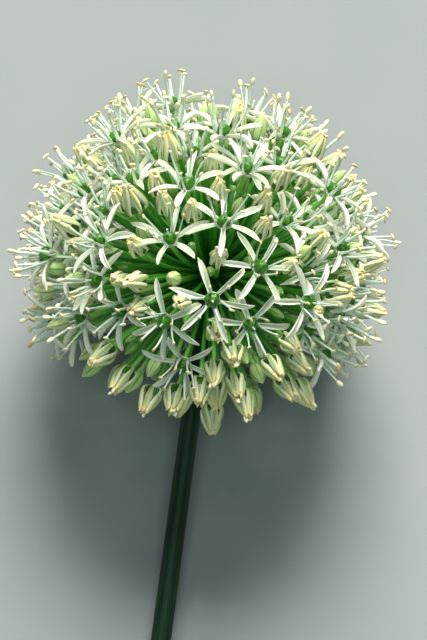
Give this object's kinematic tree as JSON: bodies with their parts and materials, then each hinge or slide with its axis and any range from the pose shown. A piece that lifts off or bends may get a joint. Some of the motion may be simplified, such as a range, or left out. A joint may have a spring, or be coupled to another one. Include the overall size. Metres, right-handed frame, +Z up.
{
  "type": "allium flower head",
  "caption": "Cut onion flower head lying on its side: a ball of white star florets, half-open lanterns and buds on green stalks from one knob, on a length of bare stem.",
  "frame": {"origin": "on the surface under the middle of the flower's bounding box, as the cut flower lies", "axes": "+Z is up, +Y is the way the head points, with the stem's cut end toward -Y, and +X is across"},
  "size_m": [0.1119, 0.174, 0.112],
  "materials": {
    "stalk_green": "smooth fresh green stem and stalks, darker toward the cut end",
    "petal_white": "soft white petals with a pale green middle vein, slightly translucent",
    "bud_cream": "cream-yellow buds and lanterns with green ribs",
    "ovary_green": "glossy dark green three-lobed ovary",
    "anther_tan": "powdery cream to tan anthers"
  },
  "bodies": {
    "root": {"stem_stalks_and_buds": "stalk_green", "open_floret_01": "petal_white", "open_floret_02": "petal_white", "open_floret_03": "petal_white", "open_floret_04": "petal_white", "open_floret_05": "petal_white", "open_floret_06": "petal_white", "open_floret_07": "petal_white", "open_floret_08": "petal_white", "open_floret_09": "petal_white", "open_floret_10": "petal_white", "open_floret_11": "petal_white", "open_floret_12": "petal_white", "open_floret_13": "petal_white", "open_floret_14": "petal_white", "open_floret_15": "petal_white", "open_floret_16": "petal_white", "open_floret_17": "petal_white", "open_floret_18": "petal_white", "open_floret_19": "petal_white", "open_floret_20": "petal_white", "open_floret_21": "petal_white", "open_floret_22": "petal_white", "open_floret_23": "petal_white", "open_floret_24": "petal_white", "open_floret_25": "petal_white", "open_floret_26": "petal_white", "open_floret_27": "petal_white", "open_floret_28": "petal_white", "open_floret_29": "petal_white", "open_floret_30": "petal_white", "open_floret_31": "petal_white", "open_floret_32": "petal_white", "open_floret_33": "petal_white", "open_floret_34": "petal_white", "open_floret_35": "petal_white", "open_floret_36": "petal_white", "open_floret_37": "petal_white", "open_floret_38": "petal_white", "open_floret_39": "petal_white", "open_floret_40": "petal_white", "open_floret_41": "petal_white", "open_floret_42": "petal_white", "open_floret_43": "petal_white", "open_floret_44": "petal_white", "open_floret_45": "petal_white", "open_floret_46": "petal_white", "open_floret_47": "petal_white", "open_floret_48": "petal_white", "open_floret_49": "petal_white", "open_floret_50": "petal_white", "open_floret_51": "petal_white", "open_floret_52": "petal_white", "open_floret_53": "petal_white", "open_floret_54": "petal_white", "open_floret_55": "petal_white"}
  },
  "joints": []
}
